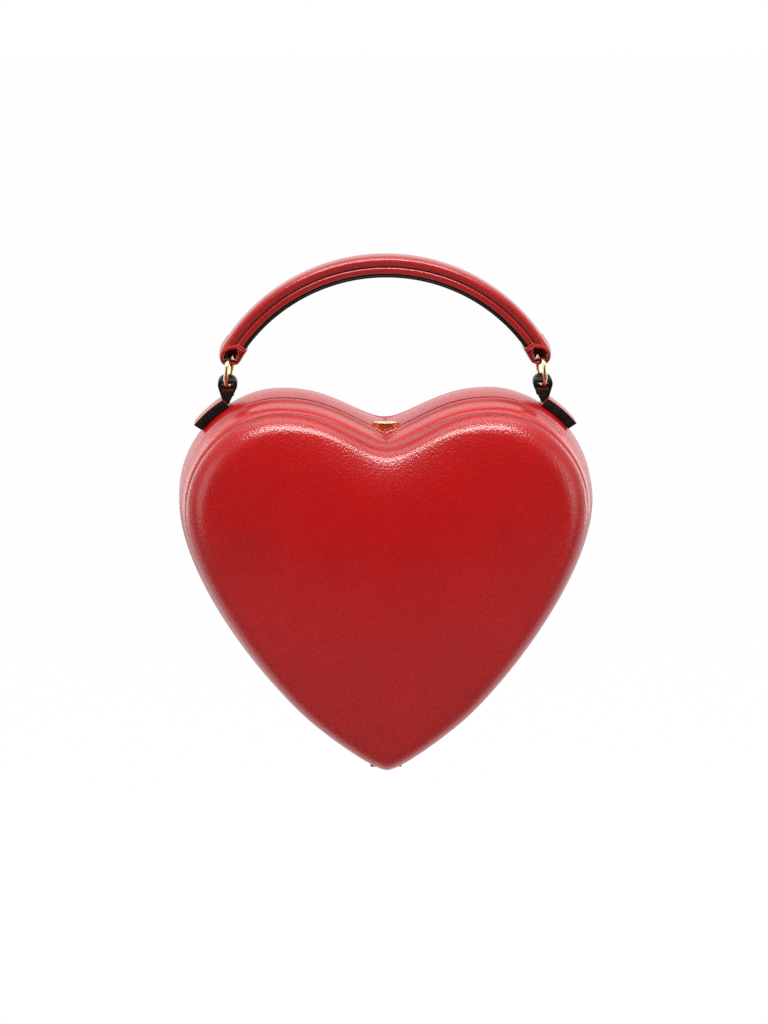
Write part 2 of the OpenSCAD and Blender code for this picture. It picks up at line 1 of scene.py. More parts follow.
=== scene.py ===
"""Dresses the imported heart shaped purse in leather, painted edges, brass and suede.

Sizes are in millimetres. Depth runs from the parting line of the two halves, positive to
the back, and place() turns such points into metres in the part's own frame.
"""
import math
from collections import namedtuple

import bmesh
import bpy
import numpy as np
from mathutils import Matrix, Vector


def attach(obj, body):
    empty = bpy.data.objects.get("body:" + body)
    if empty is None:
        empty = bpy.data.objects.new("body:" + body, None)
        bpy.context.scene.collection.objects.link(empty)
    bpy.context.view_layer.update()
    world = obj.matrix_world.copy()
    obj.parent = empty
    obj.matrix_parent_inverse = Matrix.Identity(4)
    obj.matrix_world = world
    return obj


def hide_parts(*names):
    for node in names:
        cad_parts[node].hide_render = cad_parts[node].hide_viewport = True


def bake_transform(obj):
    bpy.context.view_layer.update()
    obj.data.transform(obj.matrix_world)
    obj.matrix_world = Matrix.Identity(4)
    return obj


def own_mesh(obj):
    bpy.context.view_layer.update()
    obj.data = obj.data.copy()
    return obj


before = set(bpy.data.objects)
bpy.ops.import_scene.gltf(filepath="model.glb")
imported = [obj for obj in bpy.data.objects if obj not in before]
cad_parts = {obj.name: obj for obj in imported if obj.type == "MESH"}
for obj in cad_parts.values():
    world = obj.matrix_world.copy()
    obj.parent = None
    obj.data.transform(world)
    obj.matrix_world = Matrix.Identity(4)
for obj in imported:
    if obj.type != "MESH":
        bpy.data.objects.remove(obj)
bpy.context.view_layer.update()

# ---- Sizes, the same as in the CAD

MM = 0.001
RING_X, RING_DEPTH, RING_Z = 69.4, 15.0, -42.7
RING_R, WIRE_R = 7.0, 1.0
RING_SHIFT = 0.61  # the lean of a ring takes its top this far inwards, and its foot outwards
HANG_X = RING_X - RING_SHIFT

# The outline of the heart: tops of the lobes, cleft, tip, and two points down the side,
# whose heights are from the tip
HEART_H, CLEFT_DROP = 167, 15.5
LOBE_X, LOBE_Z = 46.0, RING_Z - 10
CLEFT_Z = LOBE_Z - CLEFT_DROP
TIP_Z = LOBE_Z - HEART_H
SIDE_X, WIDEST = 90.5, 121.5
FLANK_X, FLANK_Z = 34.7, 22.6
MIDDLE_Z = TIP_Z + 0.585 * HEART_H
MEAN_FAR = 0.45 * HEART_H

# The layers: how thick each is, and how far under the face of the leather it lies
LEATHER, PADDING, LINING = 1.2, 2.6, 0.8
LAY_PAD, LAY_LINING, LAY_ALL = 1.4, 6.4, 7.2
SEAM_GROOVE, SHOULDER_W, SHOULDER_H = 0.9, 9.0, 8.0
MOUTH, SHELL_DEPTH = 0.15, 1.95  # depths at which the leather and the layers in it begin
HINGE_HALF, HINGE_DEPTH, HINGE_H = 7.3, 3.75, 14  # room for the knuckles at the tip

# The push button, its spring and its catch
BUTTON_W, BUTTON_D, BUTTON_ROOM, BUTTON_DEPTH = 11.6, 4.8, 0.3, 4.55
CAP_LOW, SEAT_Z, LEAF_Z = -73.3, -75.7, -81.6  # cap's foot, spring's seat, leaf
PRESS, LEAF_FOOT_DEPTH = 1.8, 7.1

# The handle: radii of its layers from the middle of the arch, bottom to top
ARCH_R, BASE_R, BAND_R, ROLL_R, ARCH_TOP = 75.6, 77.05, 79.5, 79.55, 85.35
ARCH_HALF = math.radians(55.83)
ARCH_Z = -ARCH_R
ARCH_STATIONS = 150


# ---- Meshes

def place(points):
    """Points in mm from the parting line, as metres in the part's frame."""
    points = np.array(points, float)
    points[:, 1] -= RING_DEPTH
    return points * MM


def put_in_scene(name, data):
    thing = bpy.data.objects.new(name, data)
    bpy.context.scene.collection.objects.link(thing)
    return thing


def outward(mesh):
    """Merges doubles and turns every face outwards."""
    shape = bmesh.new()
    shape.from_mesh(mesh)
    bmesh.ops.remove_doubles(shape, verts=shape.verts, dist=1e-6)
    bmesh.ops.recalc_face_normals(shape, faces=shape.faces)
    if shape.calc_volume(signed=True) < 0:
        bmesh.ops.reverse_faces(shape, faces=shape.faces)
    shape.to_mesh(mesh)
    shape.free()


def shade(mesh, sharp_deg=35):
    mesh.shade_smooth()
    mesh.set_sharp_from_angle(angle=math.radians(sharp_deg))


def make_piece(name, shape, *materials, closed=True, sharp_deg=35):
    """A mesh in place, from points, faces and, for leather, a value of painted shade at each point.

    The value is painted shade, from 0 to 1, deepest where the point lies in a seam, fold or
    recess, and the leather turns darker and duller by it.
    """
    points, faces, *crease = shape
    mesh = bpy.data.meshes.new(name)
    mesh.from_pydata(place(points).tolist(), [], faces)
    if crease:
        mesh.attributes.new("crease", "FLOAT", "POINT").data.foreach_set("value", crease[0])
    for material in materials:
        mesh.materials.append(material)
    if closed:
        outward(mesh)
    shade(mesh, sharp_deg)
    return put_in_scene(name, mesh)


def settle(piece):
    """Replaces a piece's live modifiers by their result."""
    result = bpy.data.meshes.new_from_object(
        piece.evaluated_get(bpy.context.evaluated_depsgraph_get()))
    piece.modifiers.clear()
    piece.data = result
    result.name = piece.name


def cut_out(piece, cutter):
    """Cuts a hole in a piece and removes its cutter."""
    hole = piece.modifiers.new("hole", "BOOLEAN")
    hole.operation, hole.solver, hole.object = "DIFFERENCE", "EXACT", cutter
    settle(piece)
    bpy.data.objects.remove(cutter)
    shade(piece.data)


def finish_piece(piece, body, slot, *nodes):
    """Hands a piece to its body and hides the CAD nodes that it stands for. slot is not used."""
    if nodes:
        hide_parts(*nodes)
    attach(piece, body)


def full_turn(count):
    """Angles once round, evenly spaced."""
    return np.linspace(0, 2 * math.pi, count, endpoint=False)


def hump(x, middle, width):
    """A smooth hump, 1 high at its middle."""
    return np.exp(-((x - middle) / width)**2)


def squared(wave, power):
    """A sine or cosine pressed from a circle (power 2) towards a square with round corners."""
    return np.sign(wave) * np.abs(wave)**(2 / power)


def wall_faces(rows, columns, first=0, around=True):
    """Quads between neighbouring rows of points, closed around if asked."""
    last = columns if around else columns - 1
    return [
        (first + r * columns + c, first + r * columns + (c + 1) % columns,
         first + (r + 1) * columns + (c + 1) % columns, first + (r + 1) * columns + c)
        for r in range(rows - 1) for c in range(last)]


def skin(rings, first_cap=None, last_cap=None, joined=False):
    """Points and faces of a stack of rings.

    Each end closes in a point, if one is given, or else flat. A joined stack has no ends: its
    last ring meets its first.
    """
    count = len(rings[0])
    points = np.vstack(rings)
    faces = wall_faces(len(rings), count)
    end = (len(rings) - 1) * count
    if joined:
        faces += [(end + c, end + (c + 1) % count, (c + 1) % count, c) for c in range(count)]
        return points, faces
    for cap, start in ((first_cap, 0), (last_cap, end)):
        if cap is None:
            faces.append(tuple(range(start, start + count)))
        else:
            points = np.vstack([points, [cap]])
            faces += [(start + c, start + (c + 1) % count, len(points) - 1) for c in range(count)]
    return points, faces


def join_parts(*parts):
    """Several (points, faces) as one."""
    points, faces, first = [], [], 0
    for part_points, part_faces in parts:
        points.append(part_points)
        faces += [tuple(first + i for i in face) for face in part_faces]
        first += len(part_points)
    return np.vstack(points), faces


def prism(outline, half_depth, middle):
    """A flat outline in x and z, drawn out over its depth."""
    flat = np.array(outline, float)
    return skin([np.column_stack([flat[:, 0], np.full(len(flat), middle + s * half_depth),
                                  flat[:, 1]]) for s in (-1, 1)])


def spread(values, stations):
    """A smooth curve through rows of values, at evenly spaced stations (Catmull-Rom)."""
    rows = np.array(values, float)
    padded = np.vstack([2 * rows[0] - rows[1], rows, 2 * rows[-1] - rows[-2]])
    at = np.linspace(0, len(rows) - 1, stations)
    k = np.minimum(at.astype(int), len(rows) - 2)
    t = (at - k)[:, None]
    a, b, c, d = (padded[k + i] for i in range(4))
    return 0.5 * (2 * b + (c - a) * t + (2 * a - 5 * b + 4 * c - d) * t**2
                  + (3 * b - a - 3 * c + d) * t**3)


def tube(path, radii):
    """A round tube along a path of 3-D points that never runs along the depth."""
    path = np.array(path, float)
    along = np.gradient(path, axis=0)
    along /= np.linalg.norm(along, axis=1)[:, None]
    side = np.cross(along, [0.0, 1.0, 0.0])
    side /= np.linalg.norm(side, axis=1)[:, None]
    up = np.cross(side, along)
    cosine, sine = np.cos(full_turn(10))[:, None], np.sin(full_turn(10))[:, None]
    return skin([p + r * (cosine * s + sine * u) for p, r, s, u in zip(path, radii, side, up)])


def on_side(side, points):
    """Points of the right side, mirrored for the left one."""
    return points if side == "right" else np.array(points) * [-1, 1, 1]


# ---- The heart outline

def curve_at(points, shares):
    """Points of a cubic Bezier curve."""
    p, t = np.array(points, float), np.array(shares, float)[:, None]
    return (p[0] * (1 - t)**3 + 3 * p[1] * t * (1 - t)**2
            + 3 * p[2] * t * t * (1 - t) + p[3] * t**3)


def heart_curves():
    """The right side in four curves. Shares of their run and rise place their handles."""
    drop, run, rise = HEART_H - WIDEST, SIDE_X - FLANK_X, WIDEST - FLANK_Z
    slope = rise * 0.18 / (run * 0.36) * FLANK_X / FLANK_Z
    cleft, lobe = (0, CLEFT_Z), (LOBE_X, LOBE_Z)
    widest, flank, tip = (SIDE_X, TIP_Z + WIDEST), (FLANK_X, TIP_Z + FLANK_Z), (0, TIP_Z)
    return (
        [cleft, (LOBE_X * 0.41, CLEFT_Z + CLEFT_DROP * 0.53), (LOBE_X * 0.57, LOBE_Z), lobe],
        [lobe, (LOBE_X + (SIDE_X - LOBE_X) * 0.526, LOBE_Z),
         (SIDE_X, TIP_Z + WIDEST + drop * 0.54), widest],
        [widest, (SIDE_X, TIP_Z + WIDEST - rise * 0.335),
         (FLANK_X + run * 0.36, TIP_Z + FLANK_Z + rise * 0.18), flank],
        [flank, (FLANK_X * 0.77, TIP_Z + FLANK_Z * (1 - 0.23 * slope)),
         (FLANK_X * 0.18, TIP_Z), tip])


STEPS = 28
CROWDING = (1.35, 1, 1, 1)  # draws the points of the first curve towards the cleft
right_side = np.vstack([curve_at(curve, (np.arange(STEPS) / STEPS)**power)
                        for curve, power in zip(heart_curves(), CROWDING)])
TIP = len(right_side)
HEART = np.vstack([right_side, [[0, TIP_Z]], right_side[:0:-1] * [-1, 1]])
COUNT = len(HEART)
TO_MIDDLE = np.array([0, MIDDLE_Z]) - HEART
REACH = np.linalg.norm(TO_MIDDLE, axis=1)
INWARD = TO_MIDDLE / REACH[:, None]
FROM_CLEFT = np.minimum(np.arange(COUNT), COUNT - np.arange(COUNT))
NEAR_CLEFT = hump(FROM_CLEFT, 0, 16.0)
NEAR_BUTTON = hump(HEART[:, 0], 0, 8.0) * (HEART[:, 1] > MIDDLE_Z)


# ---- The two halves: how far their side bands stand out, and where painted shade darkens their leather

def front_relief(depth):
    fall = np.clip((depth - 2.0) / 5.0, 0, 1)
    rolled_edge = 1.0 - hump(depth, 0, 0.9)
    valley = -1.35 * fall * fall * (3 - 2 * fall)
    ridge = 0.25 * hump(depth, 13.5, 2.6)
    groove = -1.35 * hump(depth, 18.6, 1.8)
    return rolled_edge + valley + ridge + groove


def back_relief(depth):
    rolled_edge, groove = -0.5 * hump(depth, 0, 1.3), -0.8 * hump(depth, 24.0, 0.7)
    return rolled_edge + groove


# Painted shade in the front band's valley and in its seam with the panel
def front_seam_shade(depth):
    valley, seam = 0.35 * hump(depth, 5.0, 1.6), 1.0 * hump(depth, 18.5, 0.9)
    return valley + seam


# Painted shade behind the front half's rolled edge at the mouth, and in the back band's seam
def back_seam_shade(depth):
    mouth, seam = 0.9 * hump(depth, 1.5, 1.2), 0.5 * hump(depth, 24.0, 0.5)
    return mouth + seam


# wall: depth of the side band. draw: how far it draws in by the seam. swell: how far it bellies
# out. crown: height of the dome over its shoulder. seam_width: of painted shade in the panel's
# seam.
# first_mitre: depth from which the mitre in the cleft shows. seams: painted shade on the band.
Half = namedtuple("Half", "name side wall draw swell crown seam_width first_mitre relief seams")
FRONT = Half("front", side=-1, wall=18.5, draw=2.4, swell=1.0, crown=13.0, seam_width=2.0,
             first_mitre=1.5, relief=front_relief, seams=front_seam_shade)
BACK = Half("back", side=1, wall=24.0, draw=-0.8, swell=1.3, crown=11.0, seam_width=0.7,
            first_mitre=7.5, relief=back_relief, seams=back_seam_shade)


# ---- The shells that follow the outline

# Points over which the cleft is rounded at the seam, and how many more at the middle
ROUND_AT_SEAM, ROUND_INSIDE = 5, 7


def round_cleft(ring, reach):
    """Rounds the V of the cleft by a mean over about reach neighbouring points."""
    if reach <= 0:
        return ring
    weight = np.exp(-0.5 * (FROM_CLEFT / reach)**2)
    weight /= weight.sum()
    soft = np.real(np.fft.ifft(np.fft.fft(ring, axis=0) * np.fft.fft(weight)[:, None], axis=0))
    return ring + (soft - ring) * NEAR_CLEFT[:, None]


def clear_hinge(ring):
    """Draws the mouth back where the hinge knuckles lie."""
    ring = ring.copy()
    room = np.clip(HINGE_HALF + 1.0 - np.abs(ring[:, 0]), 0, 1) * (ring[:, 2] < TIP_Z + HINGE_H)
    depth = np.abs(ring[:, 1])
    ring[:, 1] = np.sign(ring[:, 1]) * np.maximum(depth, room * HINGE_DEPTH)
    return ring


def band_ring(half, lay, depth, relief=0.0):
    """A ring of the side band, lay under its face. The cleft is rounder towards the seam."""
    s = depth / half.wall
    out = 4 * half.swell * s * (1 - s) - half.draw * s + relief
    flat = HEART + INWARD * np.reshape(lay - out, (-1, 1))
    ring = np.column_stack([flat[:, 0], np.full(COUNT, half.side * depth), flat[:, 1]])
    return clear_hinge(round_cleft(ring, ROUND_AT_SEAM * s * s))


def dome_ring(half, lay, w, groove=0.0):
    """A ring of the padded dome at distance w inside the seam, rounder towards the middle."""
    far = REACH - half.draw
    k = np.minimum(w / SHOULDER_W, 1)
    rise = SHOULDER_H * np.sqrt(1 - (1 - k)**2) + half.crown * (1 - (1 - w / far)**2)
    even = w - (far - w) * w / far * (MEAN_FAR / far - 1)  # the inner rings turn round
    flat = HEART + INWARD * (half.draw + lay + groove + even * (1 - lay / far))[:, None]
    ring = np.column_stack([flat[:, 0], half.side * (half.wall + rise - lay), flat[:, 1]])
    return round_cleft(ring, ROUND_AT_SEAM + ROUND_INSIDE * float(np.mean(w / far)))


SHOULDER_TURNS = np.radians([0, 1.5, 3, 5, 8, 12, 17, 23, 30, 38, 47, 57, 68, 79, 90])
CROWN_SHARES = np.linspace(0, 0.97, 15)[1:]


def crown_ring(half, lay, share):
    """A ring of the dome inside its shoulder, at a share of the way to the middle."""
    return dome_ring(half, lay, SHOULDER_W + (REACH - half.draw - SHOULDER_W) * share)


def dome_rings(half, lay, groove=0.0):
    """Rings of a dome from its seam, where it may dip into a groove, to near its middle."""
    rings = []
    for turn in SHOULDER_TURNS:
        w = SHOULDER_W * (1 - math.cos(turn))
        rings.append(dome_ring(half, lay, np.full(COUNT, w),
                               groove * hump(SHOULDER_H * math.sin(turn), 0, 0.8)))
    return rings + [crown_ring(half, lay, share) for share in CROWN_SHARES]


def apex(half, lay):
    """The middle point of a dome."""
    return [0, half.side * (half.wall + SHOULDER_H + half.crown - lay), MIDDLE_Z]


def panel_skin(half):
    """The padded leather panel with its turned-in seam edge."""
    outer, inner = dome_rings(half, 0, SEAM_GROOVE), dome_rings(half, LEATHER)
    # Painted shade along the panel's seam, seam_width wide
    seam = [hump(SHOULDER_H * math.sin(turn), 0, half.seam_width) for turn in SHOULDER_TURNS]
    dark = [0.0] * len(CROWN_SHARES) + seam[::-1] + [0.0] * len(inner)
    points, faces = skin(outer[::-1] + inner, apex(half, 0), apex(half, LEATHER))
    return points, faces, np.append(np.repeat(dark, COUNT), [0.0, 0.0])


# The turned edge of the band at the mouth, from its inner face outwards: lay and depth
TURNED_EDGE = ((LEATHER, 2.5), (LEATHER, 0.75), (1.0, 0.35), (0.6, MOUTH), (0.25, 0.3))


def rim_skin(half):
    """The side band, turned over at the mouth and mitred in the cleft, as a closed hoop.

    Beside the button its rolled edge is lower and has no painted shade.
    """
    edge = [band_ring(half, lay, depth, min(half.relief(depth), 0) * (1 - lay / LEATHER))
            for lay, depth in TURNED_EDGE]
    # The rings lie closest at the rolled edge and at the seam
    roll = np.linspace(0.7, 3.5, 9)
    depths = np.concatenate([roll, np.linspace(4.5, half.wall - 2.8, 12),
                             np.linspace(half.wall - 2.2, half.wall - 0.1, 8)])
    outer = []
    for depth in depths:
        relief = half.relief(depth)
        lowered = np.minimum(relief, relief * (1 - 0.9 * NEAR_BUTTON))
        outer.append(band_ring(half, 0, depth, lowered))
    inner = [band_ring(half, LEATHER + 0.6, depth) for depth in (half.wall - 0.2, half.wall - 6, 6)]
    points, faces = skin(edge + outer + inner, joined=True)

    # Painted shade in the mouth, in the seams and down the mitre, the first point of each ring
    bare = [0.0] * len(inner)
    dark = [1.0] * (len(edge) - 1) + [0.8] + [half.seams(depth) for depth in depths] + bare
    crease = np.repeat(dark, COUNT)
    near_mouth = len(edge) + len(roll)
    crease[:near_mouth * COUNT] *= np.tile(1 - NEAR_BUTTON, near_mouth)
    mitre = [0.0] * len(edge) + [0.54 * (depth > half.first_mitre) for depth in depths] + bare
    crease[::COUNT] = np.maximum(crease[::COUNT], mitre)
    return points, faces, crease


def layer_skin(half, lay, thick):
    """A foam or suede layer of a half, from the mouth to the middle and back."""
    def shell(at):
        band = [band_ring(half, at, depth)
                for depth in np.linspace(SHELL_DEPTH, half.wall - at, 7)[:-1]]
        return band + dome_rings(half, at)
    return skin(shell(lay)[::-1] + shell(lay + thick), apex(half, lay), apex(half, lay + thick))


# ---- Nodes and colours

def linear(hex_colour):
    """An sRGB hex colour as linear red, green, blue and alpha."""
    parts = (int(hex_colour[k:k + 2], 16) / 255 for k in (1, 3, 5))
    return tuple(((c + 0.055) / 1.055)**2.4 if c > 0.04045 else c / 12.92 for c in parts) + (1.0,)


def set_inputs(tree, node, inputs):
    """Sets inputs, by name or place, to values or hex colours, or links what feeds them.

    A node stands for its first output.
    """
    for name, given in inputs.items():
        if isinstance(given, bpy.types.Node):
            given = given.outputs[0]
        if isinstance(given, bpy.types.NodeSocket):
            tree.links.new(given, node.inputs[name])
        else:
            node.inputs[name].default_value = linear(given) if isinstance(given, str) else given


def add_node(tree, kind, inputs=None, stops=(), **settings):
    """Adds a node with its settings, its inputs and the (place, colour) stops of a ramp."""
    node = tree.nodes.new(kind)
    for name, value in settings.items():
        setattr(node, name, value)
    set_inputs(tree, node, inputs or {})
    if stops:
        elements = node.color_ramp.elements
        while len(elements) < len(stops):
            elements.new(0.5)
        for element, (at, colour) in zip(elements, stops):
            element.position, element.color = at, linear(colour)
    return node


def scale_for(size_mm):
    """The Scale that makes a pattern's cells this size."""
    return 1 / (size_mm * MM)


def new_material(name):
    """A material with its tree, its shader and the piece's own coordinates in metres."""
    material = bpy.data.materials.new(name)
    material.use_nodes = True
    tree = material.node_tree
    tree.nodes.clear()
    shader = add_node(tree, "ShaderNodeBsdfPrincipled")
    add_node(tree, "ShaderNodeOutputMaterial", {"Surface": shader})
    where = add_node(tree, "ShaderNodeTexCoord").outputs["Object"]
    return material, tree, shader, where


def lay_pattern(tree, shader, tone, stops, relief, depth_mm, others):
    """Colours a shader by a tone, raises it by a relief and sets its other inputs."""
    set_inputs(tree, shader, {
        "Base Color": add_node(tree, "ShaderNodeValToRGB", {"Fac": tone}, stops),
        "Normal": add_node(tree, "ShaderNodeBump", {"Height": relief, "Distance": depth_mm * MM}),
        **others})


# ---- Materials

def calf_leather(name, dyes, cell_mm, depth_mm, rough, glaze=0.0, shine=0.5):
    """Calf, dyed in a drum, plated with a grain and glazed.

    The drum leaves soft clouds of tone 30 mm wide. The hot plate leaves cells, with duller
    valleys between them that break up the highlights, and the hide adds finer pores. The
    glaze is a thin clear coat. Painted shade, given at each point, makes the leather darker
    and duller in seams, folds and recesses. Real calf grain is 0.3 to 1 mm wide, and the
    finer ones are drawn up to twice as coarse, so that they show.
    """
    material, tree, shader, where = new_material(name)
    cells = add_node(tree, "ShaderNodeTexVoronoi", {"Vector": where, "Scale": scale_for(cell_mm)})
    pores = add_node(tree, "ShaderNodeTexNoise", {
        "Vector": where, "Scale": scale_for(cell_mm * 0.5), "Detail": 1.0})
    clouds = add_node(tree, "ShaderNodeTexNoise", {"Vector": where, "Scale": scale_for(30)})
    valleys = add_node(tree, "ShaderNodeMath", {0: cells, 1: 2.0}, operation="POWER")
    pitted = add_node(tree, "ShaderNodeMath", {0: pores, 1: 0.12}, operation="MULTIPLY")
    grain = add_node(tree, "ShaderNodeMath", {0: pitted, 1: valleys}, operation="SUBTRACT")
    clouded = add_node(tree, "ShaderNodeMath", {0: clouds, 1: 0.6}, operation="MULTIPLY")
    tone = add_node(tree, "ShaderNodeMath", {0: grain, 1: 0.2, 2: clouded},
                    operation="MULTIPLY_ADD")
    dyed = add_node(tree, "ShaderNodeValToRGB", {"Fac": tone}, tuple(zip((0.0, 0.25, 0.5), dyes)))
    # Painted shade: by this value the dye darkens towards #480507 and the leather dulls
    folds = add_node(tree, "ShaderNodeAttribute", attribute_name="crease").outputs["Fac"]
    shaded = add_node(tree, "ShaderNodeMix", {"Factor": folds, 6: dyed, 7: "#480507"},
                      data_type="RGBA").outputs[2]
    worn = add_node(tree, "ShaderNodeMapRange", {
        "Value": valleys, "To Min": rough - 0.02, "To Max": rough + 0.1})
    dulled = add_node(tree, "ShaderNodeMath", {0: folds, 1: 0.45, 2: worn},
                      operation="MULTIPLY_ADD")
    pressed = add_node(tree, "ShaderNodeBump", {"Height": grain, "Distance": depth_mm * MM})
    set_inputs(tree, shader, {
        "Base Color": shaded, "Roughness": dulled, "Normal": pressed, "Coat Normal": pressed,
        "Specular IOR Level": shine, "Coat Weight": glaze, "Coat Roughness": 0.24})
    return material


def painted_edge():
    """Black edge paint, brushed on cut leather in two coats that pool and thin every 2 mm."""
    material, tree, shader, where = new_material("black_edge_paint")
    waves = add_node(tree, "ShaderNodeTexNoise", {
        "Vector": where, "Scale": scale_for(2.2), "Detail": 3.0})
    gloss = add_node(tree, "ShaderNodeMapRange", {"Value": waves, "To Min": 0.4, "To Max": 0.55})
    lay_pattern(tree, shader, waves, ((0.3, "#0C0807"), (0.7, "#1E1412")), waves, 0.12,
                {"Roughness": gloss, "Specular IOR Level": 0.2})
    return material


def buffed_metal(name, dark, light, rough, scratch_mm):
    """Metal buffed on a wheel: hairlines across it that stretch the highlights, and cloudy wear.

    Real hairlines are a few hundredths of a millimetre wide. They are drawn five times as
    coarse, so that they show.
    """
    material, tree, shader, where = new_material(name)
    lines = add_node(tree, "ShaderNodeMapping", {"Vector": where, "Scale": (1.0, 6.0, 1.0)})
    hair = add_node(tree, "ShaderNodeTexNoise", {
        "Vector": lines, "Scale": scale_for(scratch_mm), "Detail": 4.0})
    wear = add_node(tree, "ShaderNodeTexNoise", {"Vector": where, "Scale": scale_for(3.5)})
    gloss = add_node(tree, "ShaderNodeMapRange", {
        "Value": hair, "To Min": rough * 0.7, "To Max": rough * 1.5})
    lay_pattern(tree, shader, wear, ((0.3, dark), (0.7, light)), hair, 0.01,
                {"Roughness": gloss, "Metallic": 1.0})
    return material


def red_enamel():
    """Red enamel stoved on brass, to match the leather: it flows, so it waves a little."""
    material, tree, shader, where = new_material("red_enamelled_brass")
    flow = add_node(tree, "ShaderNodeTexNoise", {"Vector": where, "Scale": scale_for(1.5)})
    gloss = add_node(tree, "ShaderNodeMapRange", {"Value": flow, "To Min": 0.38, "To Max": 0.48})
    lay_pattern(tree, shader, flow, ((0.3, "#7A0A0D"), (0.7, "#8A0E12")), flow, 0.03,
                {"Roughness": gloss})
    return material


def suede_lining():
    """Split suede, brushed: a matt nap with a soft sheen, in strokes 14 mm wide.

    The real nap is finer than 0.1 mm, and is drawn 0.5 mm wide, so that it shows.
    """
    material, tree, shader, where = new_material("tan_suede")
    nap = add_node(tree, "ShaderNodeTexNoise", {
        "Vector": where, "Scale": scale_for(0.5), "Detail": 4.0, "Roughness": 0.7})
    brush = add_node(tree, "ShaderNodeTexNoise", {"Vector": where, "Scale": scale_for(14)})
    both = add_node(tree, "ShaderNodeMath", {0: nap, 1: brush}, operation="ADD")
    tone = add_node(tree, "ShaderNodeMath", {0: both, 1: 0.5}, operation="MULTIPLY")
    tans = ((0.3, "#B48C71"), (0.55, "#C6A288"), (0.75, "#D2B199"))
    lay_pattern(tree, shader, tone, tans, nap, 0.25,
                {"Roughness": 0.95, "Sheen Weight": 0.4, "Sheen Roughness": 0.5})
    return material


def open_foam():
    """Polyurethane foam, cut from a block: open cells half a millimetre wide, no shine."""
    material, tree, shader, where = new_material("cream_foam")
    cells = add_node(tree, "ShaderNodeTexVoronoi", {"Vector": where, "Scale": scale_for(0.5)})
    lay_pattern(tree, shader, cells, ((0.2, "#C9BC98"), (0.7, "#EFE6CC")), cells, 0.2,
                {"Roughness": 0.9})
    return material


def moulded_board():
    """Fibre board, moulded wet: a dull brown mat of fibres 4 mm long that mostly lie flat."""
    material, tree, shader, where = new_material("fibre_board")
    flattened = add_node(tree, "ShaderNodeMapping", {"Vector": where, "Scale": (1.0, 1.0, 5.0)})
    fibres = add_node(tree, "ShaderNodeTexNoise", {
        "Vector": flattened, "Scale": scale_for(4), "Detail": 5.0, "Roughness": 0.7})
    lay_pattern(tree, shader, fibres, ((0.3, "#54402F"), (0.7, "#806550")), fibres, 0.1,
                {"Roughness": 0.85})
    return material


# A coarse pebble: small even highlights that break up over the domes
PEBBLED = calf_leather("red_pebbled_calf", ("#920304", "#9C0405", "#A20607"),
                       cell_mm=0.95, depth_mm=0.085, rough=0.25, glaze=0.25)
# Plated nearly smooth: long soft highlights along the side bands
SMOOTH = calf_leather("red_smooth_calf", ("#9C090B", "#A60B0D", "#AC0E10"),
                      cell_mm=0.8, depth_mm=0.055, rough=0.27, glaze=0.2)
# Painted shade deep in the seams and recesses: a dark, dull, unglazed calf
SEAM_SHADE_CALF = calf_leather("painted_seam_shade_calf", ("#3E0406", "#4A0507", "#560608"),
                         cell_mm=0.8, depth_mm=0.04, rough=0.6, shine=0.1)
# A finer grain and more glaze: a clear line of light along the handle
HANDLE_CALF = calf_leather("dark_red_handle_calf", ("#88090B", "#940B0D", "#9E0E10"),
                           cell_mm=0.8, depth_mm=0.03, rough=0.25, glaze=0.3)
# Unglazed and soft, for folding: matt, so that the folds show by their shade
DEEP = calf_leather("deep_red_gusset_calf", ("#6E0A0E", "#8E1216", "#9E1A1E"),
                    cell_mm=0.6, depth_mm=0.08, rough=0.5)
EDGE = painted_edge()
BRASS = buffed_metal("pale_gold_plated_brass", "#EBCF90", "#F8E6B8", rough=0.18, scratch_mm=0.8)
ENAMEL = red_enamel()
STEEL = buffed_metal("spring_steel", "#97979A", "#B4B4B8", rough=0.3, scratch_mm=0.6)
SUEDE = suede_lining()
FOAM = open_foam()
BOARD = moulded_board()
# Linen thread, twisted and waxed: its plies make the same small cells as a fine grain
THREAD = calf_leather("tan_waxed_thread", ("#9C7558", "#B98E6E", "#CDA888"),
                      cell_mm=0.4, depth_mm=0.05, rough=0.6)


# ---- The leather, foam and suede of the two halves

def button_cutter():
    """The hexagonal room round the push button."""
    w, d, end = BUTTON_W / 2 + BUTTON_ROOM, BUTTON_D / 2 + BUTTON_ROOM, BUTTON_W * 0.27
    plan = np.array([(-w, 0), (-end, -d), (end, -d), (w, 0), (end, d), (-end, d)])
    rings = [np.column_stack([plan[:, 0], plan[:, 1] + BUTTON_DEPTH, np.full(len(plan), z)])
             for z in (SEAT_Z, -40)]
    return make_piece("button_cutter", skin(rings))


def paint_seam_shade(piece):
    """Gives the faces that lie deep in painted shade the second material, the dark seam shade calf.
    """
    painted_shades, deep = piece.data.attributes["crease"].data, 0.55
    for face in piece.data.polygons:
        total = sum(painted_shades[v].value for v in face.vertices)
        face.material_index = int(total > deep * len(face.vertices))


